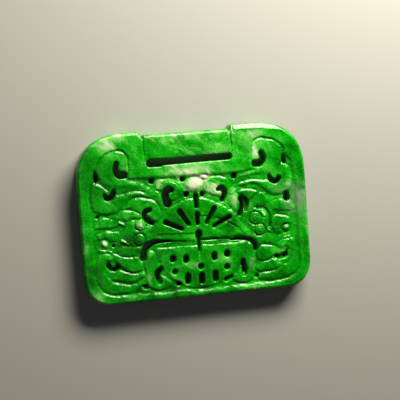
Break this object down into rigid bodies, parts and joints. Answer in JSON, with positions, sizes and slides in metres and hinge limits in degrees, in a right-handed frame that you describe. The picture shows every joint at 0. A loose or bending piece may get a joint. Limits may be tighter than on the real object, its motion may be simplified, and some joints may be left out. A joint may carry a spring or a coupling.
{
  "type": "jade lock pendant",
  "caption": "Flat pierced jade pendant in the form of a lock, with a cord slot and carved bats round a fretwork medallion.",
  "frame": {"origin": "middle of the underside of the bounding box, on the flat back that the pendant lies on", "axes": "+X to the right across the carved face, +Y towards the bar above the cord slot, +Z out of the carved face"},
  "size_m": [0.05, 0.0364, 0.0042],
  "materials": {
    "jade": "polished, mottled green with white patches"
  },
  "bodies": {
    "root": {"lock_pendant": "jade"}
  },
  "joints": []
}
